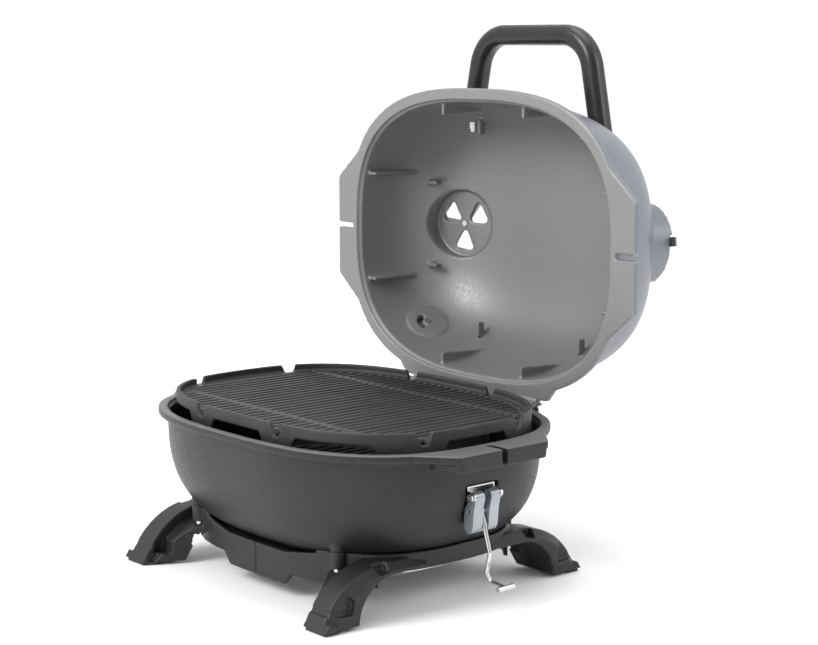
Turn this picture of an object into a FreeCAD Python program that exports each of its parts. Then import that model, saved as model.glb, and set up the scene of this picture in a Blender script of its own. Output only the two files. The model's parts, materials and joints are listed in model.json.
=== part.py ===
import FreeCAD, Part
import math
import os

# Portable charcoal grill: a cast bowl on a two-piece moulded stand, a hinged cast lid
# shown open, cast and steel grates, and a swinging hook latch at each end.
# Millimetres. X runs along the grill, +Y to the hinge, +Z up, z = 0 at the table,
# and the origin is the centre of the footprint.

V = FreeCAD.Vector

# Castings
RIM_LENGTH = 508.0            # bowl rim along X, without the latch pads
RIM_WIDTH = 388.8             # bowl rim along Y
RIM_HEIGHT = 196.0            # table up to the joint between bowl and lid
OUTLINE_POWER = 2.75          # squareness of the rim in plan
CASTING_WALL = 3.4
BOWL_DEPTH = 160.0
BOWL_POWER = 3.14             # squareness of the bowl in section
BOWL_INSET = 10.4             # bowl wall back from the rim edge
BOWL_RIM = 11.0               # width of the bowl's rim face
DOME_HEIGHT = 158.0
DOME_POWER = 3.0
DOME_INSET = 14.5
LID_RIM = 14.3
RIM_THICKNESS = 9.5
LEDGE_THICKNESS = 4.0         # casting left under the rim face
LID_GAP = 0.3                 # closed lid above the bowl rim
FIT_GAP = 0.3                 # between pieces that move past each other
RUNNING_FIT = 0.05            # radial, pin in its hole

# Latch pads, cast on both ends of bowl and lid
PAD_REACH = 24.8              # outward from the rim edge
PAD_HALF_LENGTH = 68.0
PAD_SPREAD = 36.0             # how far each side blends along the rim
BOWL_PAD_THICKNESS = 20.0
SLOT_WIDTH = 9.0              # bowl pads
LID_SLOT_WIDTH = 6.6
SLOT_LENGTH = 31.0
PAD_CORNER = 9.0
PAD_THICK_SPREAD = 9.0        # the thick part blends faster
WEB_HALF_LENGTH = 146.0
WEB_DROP = 4.0                # hinge web beyond the hinge axis

# Hinge
HINGE_SETBACK = 7.6           # axis behind the rim edge
HINGE_DROP = 4.0              # axis below the joint
HINGE_BARREL = 8.0
HINGE_PIN = 3.0
KNUCKLE_START = 84.0
LUG_START = 118.0
LUG_WIDTH = 10.0
PIN_HEAD = 5.5
PIN_HEAD_LENGTH = 4.0
LID_OPEN_ANGLE = 90.0

# Handle
HANDLE_RISE = 108.0           # above the joint, lid closed
HANDLE_REACH = 67.5           # grip centre line in front of the rim edge
HANDLE_GRIP_HALF = 96.0
HANDLE_FOOT_HALF = 123.0
HANDLE_HEIGHT = 27.0
HANDLE_DEPTH = 27.0
HANDLE_BEND = 50.0
HANDLE_ROUND = 11.0
HANDLE_SCREW = 3.0

# Grates
GRATE_INSET = 21.0            # from the rim edge
GRATE_TOP = 20.0              # above the joint
GRATE_BAR_TOP = 11.0
GRATE_BAR_DEPTH = 6.0
GRATE_WALL = 5.0
GRATE_FOOT = 12.0             # below the joint
GRATE_ARCH_TOP = 6.0
GRATE_FOOT_WIDTH = 46.0
GRATE_ARCH_SLOPE = 8.0
BAR_PITCH = 13.5
BAR_SLOT = 6.0
SLOT_BREAK = 8.0
SLOT_ROW = 104.0              # breaks in the slots, from the middle
NOTCH_DEPTH = 15.5
NOTCH_WIDTH = 20.0
RIB_ALONG = 75.5              # rib places on the long walls
RIB_ACROSS = 73.0             # rib places on the end walls
RIB_THICKNESS = 5.0
RIB_REACH = 34.0              # from the rim edge inward
RIB_DEPTH = 75.0
LID_RIB_START = 13.0
LID_LUG_DEPTH = 108.0
LUG_DEPTH = 92.0              # charcoal grate lugs below the joint
LUG_REACH = 18.0
LUG_ALONG = 96.0
LUG_ACROSS = 58.0
LUG_THICKNESS = 6.0
LUG_HEIGHT = 12.0
COAL_GRATE_GAP = 9.0
COAL_GRATE_THICKNESS = 3.0
COAL_PITCH = 16.0
COAL_SLOT = 9.0

# Round vents: a pair in the lid and a pair in the bowl floor
LID_VENT_IN = 85.0            # inward from the rim's end
LID_VENT_TILT = 12.0
LID_VENT_RISE = 140.0         # inner face of the vent disc above the joint
VENT_HOUSING = 50.5
VENT_HOUSING_WALL = 3.2
VENT_DISC = 3.5
VENT_RIM = 9.0
VENT_HOLES = 3
VENT_HOLE_NEAR = 5.5
VENT_HOLE_FAR = 41.0
VENT_HOLE_ANGLE = 27.0
VENT_HOLE_ROUND = 5.0
VENT_TAB_WIDTH = 12.0
VENT_TAB_REACH = 10.0
DAMPER_THICKNESS = 2.0
DAMPER_TURN = 60.0
DAMPER_REST = 7.0             # lid dampers stand this far off the openings
VENT_RIVET = 2.0
VENT_RIVET_HEAD = 3.8
BOWL_VENT_IN = 159.0          # inward from the rim's end
BOWL_VENT_DROP = 157.5        # inner face of the bowl's vent disc below the joint
BOWL_VENT_SCALE = 0.7

# Thermometer port in the lid's rear left corner
PORT_LENGTH_IN = 80.0         # inward from the rim's end
PORT_WIDTH_IN = 55.4          # inward from the rim's long side
PORT_BOSS = 29.0
PORT_RING = 11.0
PORT_SLOT = 7.0
PORT_SLOT_TURN = 150.0
PORT_COVER_THICKNESS = 2.0
PORT_RIVET = 2.5

# Latch
PLATE = 1.5
BRACKET_WIDTH = 42.0
BRACKET_TOP = 48.5            # below the joint
BRACKET_BOTTOM = 66.5
BRACKET_EAR = 9.5
EAR_RADIUS = 6.5
RIVET_RADIUS = 1.6
RIVET_HEAD = 2.8
LATCH_FACE_IN = 25.0          # inward from the rim's end
RECESS_HALF_WIDTH = 24.3
RECESS_TOP = 47.0             # below the joint
RECESS_BOTTOM = 98.0
RECESS_WALL = 3.5
PIVOT_IN = 9.0                # inward from the rim's end
PIVOT_DROP = 60.0
PIVOT_RADIUS = 3.0
LEVER_SLOT = 10.0
LEVER_BRIDGE = 97.0           # slot ends this far below the joint
BRIDGE_FRONT_IN = 14.0        # inward from the rim's end
HOOK_PIN_IN = 15.5            # inward from the rim's end
HOOK_PIN_DROP = 78.5
HOOK_PIN_RADIUS = 2.0
HOOK_WIRE = 2.5
HOOK_SLEEVE = 3.6
HOOK_BAR = 3.2
HOOK_BAR_LENGTH = 24.0

# Stand
LEG_IN = 48.0                 # inward from the rim's end
TOE_INNER_IN = 90.5           # inward from the rim's end
TOE_WIDTH_IN = -6.6           # inward from the rim's long side
HEEL_WIDTH_IN = 42.4          # inward from the rim's long side
HEEL_INNER_IN = 114.0         # inward from the rim's end
INNER_LEG_DROP = 14.0         # inner half of a leg below its crown
ARCH_HEIGHT = 53.0            # underside of the arch above the table
ARCH_RADIUS = 51.0
CROWN_RADIUS = 98.0
CROWN_TOP = 66.0
CROWN_CHAMFER = 11.0
NOTCH_ROUND = 6.0
POCKET_DEPTH = 8.0
STEP_DEPTH = 17.0
PAD_HEIGHT = 3.5
STAND_WALL = 5.0
SKIRT_LENGTH_IN = 51.0        # inward from the rim's end
SKIRT_WIDTH_IN = 48.4         # inward from the rim's long side
SKIRT_BOTTOM = 30.0
LIP_BOTTOM = 16.0
LIP_HALF_LENGTH = 56.0
SKIRT_TOP_MIDDLE = 56.0
SKIRT_TOP_SHOULDER = 64.0
SKIRT_TOP_END = 70.0
BOSS_LENGTH_IN = 114.0        # inward from the rim's end
BOSS_WIDTH_IN = 63.4          # inward from the rim's long side
BOSS_RADIUS = 9.0
BOSS_JOINT = 72.0             # stand meets bowl bosses at this height
BOSS_LENGTH = 20.0
STAND_SCREW = 3.0
SEAM_GAP = 0.3

# Heat shield
SHIELD_LENGTH_IN = 68.0       # inward from the rim's end
SHIELD_WIDTH_IN = 82.4        # inward from the rim's long side
SHIELD_POWER = 4.0
SHIELD_FLANGE = 43.0          # underside of the flange above the table
SHIELD_WELL_LENGTH_IN = 86.0  # inward from the rim's end
SHIELD_WELL_WIDTH_IN = 90.4   # inward from the rim's long side
SHIELD_FLOOR_LENGTH_IN = 108.0# inward from the rim's end
SHIELD_FLOOR_WIDTH_IN = 102.4 # inward from the rim's long side
SHIELD_BOTTOM = 27.5
SHIELD_SHEET = 1.2
POST_LENGTH_IN = 92.5         # inward from the rim's end
POST_WIDTH_IN = 114.4         # inward from the rim's long side
POST_RADIUS = 6.0
POST_SCREW = 2.0

# Values that follow from the sizes above
half_length = RIM_LENGTH / 2
half_width = RIM_WIDTH / 2
latch_face = half_length - LATCH_FACE_IN
pivot_x = half_length - PIVOT_IN
hook_pin_x = half_length - HOOK_PIN_IN
bridge_front = half_length - BRIDGE_FRONT_IN
lid_vent_place = half_length - LID_VENT_IN
leg_outer = half_length - LEG_IN
toe_inner = half_length - TOE_INNER_IN
heel_inner = half_length - HEEL_INNER_IN
skirt_half_length = half_length - SKIRT_LENGTH_IN
shield_half_length = half_length - SHIELD_LENGTH_IN
shield_well_length = half_length - SHIELD_WELL_LENGTH_IN
shield_floor_length = half_length - SHIELD_FLOOR_LENGTH_IN
post_x = half_length - POST_LENGTH_IN
boss_x = half_length - BOSS_LENGTH_IN
bowl_vent_place = half_length - BOWL_VENT_IN
toe_y = half_width - TOE_WIDTH_IN
heel_y = half_width - HEEL_WIDTH_IN
skirt_half_width = half_width - SKIRT_WIDTH_IN
shield_half_width = half_width - SHIELD_WIDTH_IN
shield_well_width = half_width - SHIELD_WELL_WIDTH_IN
shield_floor_width = half_width - SHIELD_FLOOR_WIDTH_IN
post_y = half_width - POST_WIDTH_IN
boss_y = half_width - BOSS_WIDTH_IN
port_y = half_width - PORT_WIDTH_IN
port_x = PORT_LENGTH_IN - half_length
joint = RIM_HEIGHT
hinge_y = half_width + HINGE_SETBACK
hinge_z = joint - HINGE_DROP
pad_face = half_length + PAD_REACH
rivet_heights = (joint - BRACKET_TOP - 4.8, joint - BRACKET_BOTTOM + 4.0)
lid_bottom = joint + LID_GAP
lever_width = BRACKET_WIDTH - 2 * (PLATE + FIT_GAP)


def superellipse_half(value, half_across, half_other):
    """Half size of the rim outline on one axis at a distance along the other."""
    share = min(abs(value) / half_other, 1.0)
    return half_across * (1 - share ** OUTLINE_POWER) ** (1 / OUTLINE_POWER)


def outline(half_x, half_y, z, power=OUTLINE_POWER, points=56):
    """Closed smooth wire: a superellipse centred on the Z axis."""
    places = []
    for index in range(points):
        angle = 2 * math.pi * index / points
        across = abs(math.cos(angle) / half_x) ** power
        along = abs(math.sin(angle) / half_y) ** power
        reach = (across + along) ** (-1 / power)
        places.append(V(reach * math.cos(angle), reach * math.sin(angle), z))
    curve = Part.BSplineCurve()
    curve.interpolate(Points=places, PeriodicFlag=True)
    return Part.Wire(curve.toShape())


def plate(half_x, half_y, z0, z1, power=OUTLINE_POWER):
    """Flat slab with the rim's outline."""
    face = Part.Face(outline(half_x, half_y, z0, power))
    return face.extrude(V(0, 0, z1 - z0))


def rounded_shell(inset, depth, power, up, last=0.3):
    """Solid bowl or dome under the rim outline, ending in a small flat."""
    wires = []
    end_angle = math.acos(last ** (power / 2))
    steps = 10
    for index in range(steps + 1):
        angle = end_angle * index / steps
        scale = math.cos(angle) ** (2 / power)
        drop = depth * math.sin(angle) ** (2 / power)
        z = joint + drop if up else joint - drop
        wires.append(outline((half_length - inset) * scale, (half_width - inset) * scale, z))
    return Part.makeLoft(wires, True, False)


def box(x0, x1, y0, y1, z0, z1):
    return Part.makeBox(x1 - x0, y1 - y0, z1 - z0, V(x0, y0, z0))


def rod(radius, start, end):
    return Part.makeCylinder(radius, (end - start).Length, start, end - start)


def rounded_wire(points, radii):
    """Closed flat wire through corner points, each corner rounded by an arc."""
    count = len(points)
    starts = []
    ends = []
    mids = []
    for index in range(count):
        corner = points[index]
        before = (points[index - 1] - corner).normalize()
        after = (points[(index + 1) % count] - corner).normalize()
        half = before.getAngle(after) / 2
        radius = radii[index]
        cut = radius / math.tan(half)
        starts.append(corner + before * cut)
        ends.append(corner + after * cut)
        bisector = (before + after).normalize()
        mids.append(corner + bisector * (radius / math.sin(half) - radius))
    edges = []
    for index in range(count):
        if radii[index] > 0:
            edges.append(Part.Arc(starts[index], mids[index], ends[index]).toShape())
        follow = (index + 1) % count
        if (starts[follow] - ends[index]).Length > 1e-6:
            edges.append(Part.makeLine(ends[index], starts[follow]))
    return Part.Wire(edges)


def rounded_prism(points, radius, direction):
    """Straight solid from a closed outline whose corners are all rounded alike."""
    return Part.Face(rounded_wire(points, [radius] * len(points))).extrude(direction)


def prism(points, direction):
    return Part.Face(Part.makePolygon(points + points[:1])).extrude(direction)


def bent_path(points, bend):
    """Open path of straight runs joined by tangent arcs."""
    edges = []
    last = points[0]
    for index in range(1, len(points) - 1):
        corner = points[index]
        before = (points[index - 1] - corner).normalize()
        after = (points[index + 1] - corner).normalize()
        half = before.getAngle(after) / 2
        cut = bend / math.tan(half)
        start = corner + before * cut
        end = corner + after * cut
        middle = corner + (before + after).normalize() * (bend / math.sin(half) - bend)
        edges.append(Part.makeLine(last, start))
        edges.append(Part.Arc(start, middle, end).toShape())
        last = end
    edges.append(Part.makeLine(last, points[-1]))
    return Part.Wire(edges)


def swept(profile, path):
    solid = path.makePipeShell([profile], True, False)
    if solid.Volume < 0:
        solid.reverse()
    return solid


def mirror_x(shape):
    return shape.mirror(V(0, 0, 0), V(1, 0, 0))


def mirror_y(shape):
    return shape.mirror(V(0, 0, 0), V(0, 1, 0))


def four_ways(shape):
    """The shape and its mirror images in X and Y, as a list of four."""
    pair = [shape, mirror_x(shape)]
    return pair + [mirror_y(item) for item in pair]


def opened(shape):
    """Turn a piece of the closed lid about the hinge to the open position."""
    return shape.rotated(V(0, hinge_y, hinge_z), V(1, 0, 0), -LID_OPEN_ANGLE)


def wall_half(inset, depth, power, drop):
    """Half length and half width of a casting's wall at a height from the joint."""
    scale = (1 - (drop / depth) ** power) ** (1 / power)
    return (half_length - inset) * scale, (half_width - inset) * scale


# ---------------------------------------------------------------- bowl and lid castings

def latch_pad(z0, z1, spread):
    """Pad on the +X end, each side blending into the rim over the spread."""
    inner_x = half_length - 24
    side_x = superellipse_half(PAD_HALF_LENGTH + spread, half_length, half_width)
    side_y = PAD_HALF_LENGTH + spread
    points = [
        V(inner_x, -side_y, z0),
        V(side_x, -side_y, z0),
        V(pad_face, -PAD_HALF_LENGTH, z0),
        V(pad_face, PAD_HALF_LENGTH, z0),
        V(side_x, side_y, z0),
        V(inner_x, side_y, z0),
    ]
    radii = [0, 0, PAD_CORNER, PAD_CORNER, 0, 0]
    return Part.Face(rounded_wire(points, radii)).extrude(V(0, 0, z1 - z0))


def pad_slot(width, z0, z1):
    half = width / 2
    end_x = pad_face - SLOT_LENGTH + half
    straight = box(end_x, pad_face + 5, -half, half, z0, z1)
    return straight.fuse(rod(half, V(end_x, 0, z0), V(end_x, 0, z1)))


def grate_rib(on_end, place, z_shoulder, z_foot, inset, depth, power):
    """Cast rib on a wall: a level shoulder, then an edge that runs out on the wall at the foot."""
    half_x, half_y = wall_half(inset, depth, power, abs(z_foot - joint))
    if on_end:
        rim = superellipse_half(place, half_length, half_width)
        wall = superellipse_half(place, half_x, half_y)
    else:
        rim = superellipse_half(place, half_width, half_length)
        wall = superellipse_half(place, half_y, half_x)
    half = RIB_THICKNESS / 2
    profile = [(rim - 8, z_shoulder), (rim - RIB_REACH, z_shoulder), (wall, z_foot), (rim - 8, z_foot)]
    if on_end:
        return prism([V(reach, place - half, z) for reach, z in profile], V(0, RIB_THICKNESS, 0))
    return prism([V(place - half, reach, z) for reach, z in profile], V(RIB_THICKNESS, 0, 0))


def support_lug(on_end, place, inset, depth, power, z_top):
    """Small lug on the wall that carries the charcoal grate."""
    half_x, half_y = wall_half(inset, depth, power, abs(z_top - joint))
    half = LUG_THICKNESS / 2
    if on_end:
        reach = superellipse_half(place, half_x, half_y)
        return box(reach - LUG_REACH, reach + 3, place - half, place + half, z_top - LUG_HEIGHT, z_top)
    reach = superellipse_half(place, half_y, half_x)
    return box(place - half, place + half, reach - LUG_REACH, reach + 3, z_top - LUG_HEIGHT, z_top)


def inner_ribs(inset, depth, power, shoulder, foot, lug_top, casting):
    """Eight grate ribs and eight charcoal grate lugs inside a casting."""
    pieces = []
    for side in (-1, 1):
        end_rib = grate_rib(True, side * RIB_ACROSS, shoulder, foot, inset, depth, power)
        long_rib = grate_rib(False, side * RIB_ALONG, shoulder, foot, inset, depth, power)
        end_lug = support_lug(True, side * LUG_ACROSS, inset, depth, power, lug_top)
        long_lug = support_lug(False, side * LUG_ALONG, inset, depth, power, lug_top)
        pieces += [end_rib, mirror_x(end_rib), long_rib, mirror_y(long_rib)]
        pieces += [end_lug, mirror_x(end_lug), long_lug, mirror_y(long_lug)]
    return [piece.common(casting) for piece in pieces]


def hinge_lug(x0):
    """Lug on the bowl that carries one hinge pin."""
    arm = box(x0, x0 + LUG_WIDTH, half_width - 22, hinge_y, joint - RIM_THICKNESS, joint)
    barrel = rod(HINGE_BARREL, V(x0, hinge_y, hinge_z), V(x0 + LUG_WIDTH, hinge_y, hinge_z))
    return arm.fuse(barrel)


def hinge_hole(x0, x1):
    return rod(HINGE_PIN + RUNNING_FIT, V(x0, hinge_y, hinge_z), V(x1, hinge_y, hinge_z))


def vent_holes(scale):
    """Rounded sector openings in a vent disc, cut tools in the vent's own frame."""
    tools = []
    spread = math.radians(VENT_HOLE_ANGLE)
    for index in range(VENT_HOLES):
        middle = math.radians(360 / VENT_HOLES * index + 90)
        corners = []
        for reach, turn in ((VENT_HOLE_NEAR, 0), (VENT_HOLE_FAR, spread), (VENT_HOLE_FAR, -spread)):
            x = scale * reach * math.cos(middle + turn)
            y = scale * reach * math.sin(middle + turn)
            corners.append(V(x, y, -20))
        tools.append(rounded_prism(corners, scale * VENT_HOLE_ROUND, V(0, 0, 40)))
    return tools


def ring_sector(inner, outer, angle0, angle1, z0, z1):
    """Part of a ring between two angles in degrees."""
    ring = Part.makeCylinder(outer, z1 - z0, V(0, 0, z0), V(0, 0, 1), angle1 - angle0)
    ring.rotate(V(0, 0, 0), V(0, 0, 1), angle0)
    return ring.cut(Part.makeCylinder(inner, z1 - z0 + 2, V(0, 0, z0 - 1)))


def damper(scale, housing_inside):
    """Rotating vent disc in the vent's own frame, with its holes over the openings."""
    z0 = VENT_DISC + FIT_GAP
    z1 = z0 + DAMPER_THICKNESS
    disc = Part.makeCylinder(housing_inside - FIT_GAP * 2, DAMPER_THICKNESS, V(0, 0, z0))
    tab_end = housing_inside + VENT_HOUSING_WALL + VENT_TAB_REACH
    tab = box(housing_inside - 4, tab_end, -VENT_TAB_WIDTH / 2, VENT_TAB_WIDTH / 2, z0, z1)
    disc = disc.fuse(tab)
    for tool in vent_holes(scale):
        disc = disc.cut(tool)
    return disc.cut(Part.makeCylinder(VENT_RIVET + RUNNING_FIT, 20, V(0, 0, -5)))


def vent_rivet():
    """Rivet through disc and damper in the vent's own frame."""
    z_top = VENT_DISC + DAMPER_THICKNESS + 2 * FIT_GAP
    shank = Part.makeCylinder(VENT_RIVET, z_top, V(0, 0, 0))
    inner_head = Part.makeCylinder(VENT_RIVET_HEAD, 1.5, V(0, 0, -1.5))
    outer_head = Part.makeCylinder(VENT_RIVET_HEAD, 1.8, V(0, 0, z_top))
    return shank.fuse([inner_head, outer_head])


def place_in(shape, origin, normal):
    """Move a piece from its own frame, whose Z axis becomes the normal."""
    moved = shape.copy()
    turn = FreeCAD.Rotation(V(0, 0, 1), normal)
    moved.Placement = FreeCAD.Placement(origin, turn).multiply(moved.Placement)
    return moved


tilt = math.radians(LID_VENT_TILT)
lid_vent_normal = V(math.sin(tilt), 0, math.cos(tilt))
lid_vent_origin = V(lid_vent_place, 0, joint + LID_VENT_RISE)
lid_vent_inside = VENT_HOUSING - VENT_HOUSING_WALL
bowl_vent_origin = V(bowl_vent_place, 0, joint - BOWL_VENT_DROP)
bowl_vent_normal = V(0, 0, -1)
bowl_vent_housing = BOWL_VENT_SCALE * VENT_HOUSING
bowl_vent_inside = bowl_vent_housing - VENT_HOUSING_WALL
finger_reach = bowl_vent_inside + 6


def port_frame():
    """Origin and outward direction of the thermometer port on the dome, lid closed."""
    half_x = half_length - DOME_INSET
    half_y = half_width - DOME_INSET
    spread = (abs(port_x) / half_x) ** OUTLINE_POWER + (port_y / half_y) ** OUTLINE_POWER
    scale = spread ** (1 / OUTLINE_POWER)
    rise = DOME_HEIGHT * (1 - scale ** DOME_POWER) ** (1 / DOME_POWER)
    slope_x = -(abs(port_x) / half_x) ** (OUTLINE_POWER - 1) / half_x
    slope_y = (port_y / half_y) ** (OUTLINE_POWER - 1) / half_y
    slope_z = (rise / DOME_HEIGHT) ** (DOME_POWER - 1) / DOME_HEIGHT
    return V(port_x, port_y, joint + rise), V(slope_x, slope_y, slope_z).normalize()


port_origin, port_normal = port_frame()

bowl_envelope = rounded_shell(BOWL_INSET - FIT_GAP, BOWL_DEPTH + FIT_GAP, BOWL_POWER, False)
bowl_inside = rounded_shell(BOWL_INSET + CASTING_WALL, BOWL_DEPTH - CASTING_WALL, BOWL_POWER, False)
dome_outside = rounded_shell(DOME_INSET, DOME_HEIGHT, DOME_POWER, True, 0.15)
dome_inside = rounded_shell(DOME_INSET + CASTING_WALL, DOME_HEIGHT - CASTING_WALL, DOME_POWER, True, 0.15)


def boss_cone(x, y):
    """Half-cone boss on the bowl above one stand screw."""
    top = joint - 84
    cylinder = Part.makeCylinder(BOSS_RADIUS, 10, V(x, y, BOSS_JOINT))
    cone = Part.makeCone(BOSS_RADIUS, 2, top - BOSS_JOINT - 10, V(x, y, BOSS_JOINT + 10))
    reach = V(x * 0.86, y * 0.84, BOSS_JOINT)
    web = rod(BOSS_RADIUS - 1, V(x, y, BOSS_JOINT + BOSS_RADIUS), reach + V(0, 0, BOSS_RADIUS))
    return cylinder.fuse([cone, web])


def middle_of_wall(drop):
    """Half length of the bowl at mid-wall, a drop below the joint."""
    middle = CASTING_WALL / 2
    return wall_half(BOWL_INSET + middle, BOWL_DEPTH - middle, BOWL_POWER, drop)[0]


def make_bowl():
    body = rounded_shell(BOWL_INSET, BOWL_DEPTH, BOWL_POWER, False)
    flange = plate(half_length, half_width, joint - RIM_THICKNESS, joint)
    pad = latch_pad(joint - RIM_THICKNESS, joint, PAD_SPREAD)
    pad = pad.fuse(latch_pad(joint - BOWL_PAD_THICKNESS, joint, PAD_THICK_SPREAD))
    additions = [flange, pad, mirror_x(pad)]
    for lug in (hinge_lug(LUG_START), hinge_lug(-LUG_START - LUG_WIDTH)):
        additions.append(lug)
    additions += four_ways(boss_cone(boss_x, boss_y))
    vent_boss_z = bowl_vent_origin.z - VENT_DISC
    vent_boss = rod(bowl_vent_housing, V(bowl_vent_place, 0, vent_boss_z), bowl_vent_origin + V(0, 0, 12))
    additions += [vent_boss, mirror_x(vent_boss)]
    bowl = body.fuse(additions)
    ledge = joint - RIM_THICKNESS + LEDGE_THICKNESS
    hollow = plate(half_length - BOWL_RIM, half_width - BOWL_RIM, ledge, joint + 5)
    bowl = bowl.cut([bowl_inside, hollow])

    shoulder = joint - GRATE_FOOT
    inset = BOWL_INSET + CASTING_WALL
    depth = BOWL_DEPTH - CASTING_WALL
    lug_top = joint - LUG_DEPTH
    ribs = inner_ribs(inset, depth, BOWL_POWER, shoulder, shoulder - RIB_DEPTH, lug_top, body)
    half = RECESS_HALF_WIDTH
    recess = box(latch_face, latch_face + 30, -half, half, joint - RECESS_BOTTOM, joint - RECESS_TOP)
    half += RECESS_WALL
    back_x = latch_face - RECESS_WALL
    drop = RECESS_TOP - RECESS_WALL
    points = [V(back_x, -half, joint - drop)]
    while middle_of_wall(drop) > back_x + 1:
        points.append(V(middle_of_wall(drop), -half, joint - drop))
        drop += 8
    points.append(V(back_x, -half, joint - drop))
    backing = prism(points, V(0, 2 * half, 0))
    bowl = bowl.fuse(ribs + [backing, mirror_x(backing)])

    slot = pad_slot(SLOT_WIDTH, joint - BOWL_PAD_THICKNESS - 5, joint + 5)
    cuts = [slot, mirror_x(slot), recess, mirror_x(recess)]
    cuts.append(hinge_hole(LUG_START - 5, LUG_START + LUG_WIDTH + 5))
    cuts.append(hinge_hole(-LUG_START - LUG_WIDTH - 5, -LUG_START + 5))
    for x in (-boss_x, boss_x):
        for y in (-boss_y, boss_y):
            cuts.append(Part.makeCylinder(STAND_SCREW + RUNNING_FIT, 12, V(x, y, BOSS_JOINT - 1)))
    rivet_hole = rod(RIVET_RADIUS + RUNNING_FIT, V(latch_face - 14, 0, 0), V(latch_face + 1, 0, 0))
    for height in rivet_heights:
        hole = rivet_hole.translated(V(0, 0, height))
        cuts += [hole, mirror_x(hole)]
    vent_cuts = vent_holes(BOWL_VENT_SCALE)
    vent_cuts.append(Part.makeCylinder(VENT_RIVET + RUNNING_FIT, 30, V(0, 0, -15)))
    vent_cuts.append(Part.makeCylinder(VENT_RIVET_HEAD + FIT_GAP, 15, V(0, 0, -15)))
    for tool in vent_cuts:
        placed = place_in(tool, bowl_vent_origin, bowl_vent_normal)
        cuts += [placed, mirror_x(placed)]
    return bowl.cut(cuts)


def make_lid():
    """Lid casting in its closed place."""
    flange = plate(half_length, half_width, lid_bottom, lid_bottom + RIM_THICKNESS)
    pad = latch_pad(lid_bottom, lid_bottom + RIM_THICKNESS, PAD_SPREAD)
    housing = Part.makeCylinder(VENT_HOUSING, 60 + VENT_RIM, V(0, 0, -60))
    housing = place_in(housing, lid_vent_origin, lid_vent_normal)
    boss = place_in(Part.makeCylinder(PORT_BOSS, 10, V(0, 0, -8.5)), port_origin, port_normal)
    web_side = WEB_HALF_LENGTH - 12
    web_y = hinge_y - HINGE_BARREL - 0.6
    web = prism(
        [
            V(-WEB_HALF_LENGTH - 8, half_width - 26, lid_bottom),
            V(WEB_HALF_LENGTH + 8, half_width - 26, lid_bottom),
            V(web_side, web_y, lid_bottom),
            V(-web_side, web_y, lid_bottom),
        ],
        V(0, 0, RIM_THICKNESS),
    )
    lip_side = KNUCKLE_START + 1
    rim_top = lid_bottom + RIM_THICKNESS
    web_lip = box(-lip_side, lip_side, web_y - 8, hinge_y + WEB_DROP, lid_bottom, rim_top)
    web = web.fuse(web_lip)
    knuckle_end = LUG_START - FIT_GAP
    knuckle = box(KNUCKLE_START, knuckle_end, web_y - 8, hinge_y, lid_bottom, lid_bottom + RIM_THICKNESS)
    barrel = rod(HINGE_BARREL, V(KNUCKLE_START, hinge_y, hinge_z), V(knuckle_end, hinge_y, hinge_z))
    knuckle = knuckle.fuse([barrel, box(KNUCKLE_START, knuckle_end, hinge_y, hinge_y + 6, hinge_z, lid_bottom + 4)])
    lid = dome_outside.fuse([flange, pad, mirror_x(pad), housing, mirror_x(housing), boss, web, knuckle, mirror_x(knuckle)])
    ledge_z = lid_bottom + RIM_THICKNESS - LEDGE_THICKNESS
    hollow = plate(half_length - LID_RIM, half_width - LID_RIM, lid_bottom - 5, ledge_z)
    below = box(-half_length * 2, half_length * 2, -half_width * 2, half_width * 0.9, joint - 40, lid_bottom)
    lid = lid.cut([dome_inside, hollow, below])

    inner_boss = place_in(Part.makeCylinder(PORT_BOSS, 4, V(0, 0, -8.5)), port_origin, port_normal)
    inset = DOME_INSET + CASTING_WALL
    depth = DOME_HEIGHT - CASTING_WALL
    shoulder = joint + LID_RIB_START
    lug_top = joint + LID_LUG_DEPTH
    ribs = inner_ribs(inset, depth, DOME_POWER, shoulder, shoulder + RIB_DEPTH, lug_top, dome_outside)
    lid = lid.fuse([inner_boss.common(dome_outside)] + ribs)

    slot = pad_slot(LID_SLOT_WIDTH, lid_bottom - 5, lid_bottom + RIM_THICKNESS + 5)
    cuts = [slot, mirror_x(slot)]
    cuts.append(hinge_hole(KNUCKLE_START - 5, knuckle_end + 5))
    cuts.append(hinge_hole(-knuckle_end - 5, -KNUCKLE_START + 5))
    vent_cuts = vent_holes(1)
    vent_cuts.append(Part.makeCylinder(lid_vent_inside, 60, V(0, 0, -60)))
    vent_cuts.append(Part.makeCylinder(lid_vent_inside, VENT_RIM, V(0, 0, VENT_DISC)))
    vent_cuts.append(Part.makeCylinder(VENT_RIVET + RUNNING_FIT, 20, V(0, 0, -5)))
    side_angle = math.degrees(VENT_TAB_WIDTH / 2 / lid_vent_inside) + 2
    vent_cuts.append(
        ring_sector(
            lid_vent_inside - 1,
            VENT_HOUSING + 1,
            -side_angle - DAMPER_REST,
            DAMPER_TURN + side_angle,
            VENT_DISC,
            VENT_RIM + 1,
        )
    )
    for tool in vent_cuts:
        placed = place_in(tool, lid_vent_origin, lid_vent_normal)
        cuts += [placed, mirror_x(placed)]
    port_slot = ring_sector(PORT_RING - PORT_SLOT / 2, PORT_RING + PORT_SLOT / 2, -65, 65, -20, 20)
    port_bore = Part.makeCylinder(PORT_RIVET + RUNNING_FIT, 40, V(0, 0, -20))
    port_slot.rotate(V(0, 0, 0), V(0, 0, 1), PORT_SLOT_TURN)
    cuts.append(place_in(port_slot, port_origin, port_normal))
    cuts.append(place_in(port_bore, port_origin, port_normal))
    for x in (-handle_screw_x, handle_screw_x):
        cuts.append(rod(HANDLE_SCREW + 0.3, V(x, handle_screw_y + 30, handle_z), V(x, handle_screw_y - 30, handle_z)))
    return lid.cut(cuts)


# ---------------------------------------------------------------- handle

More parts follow.
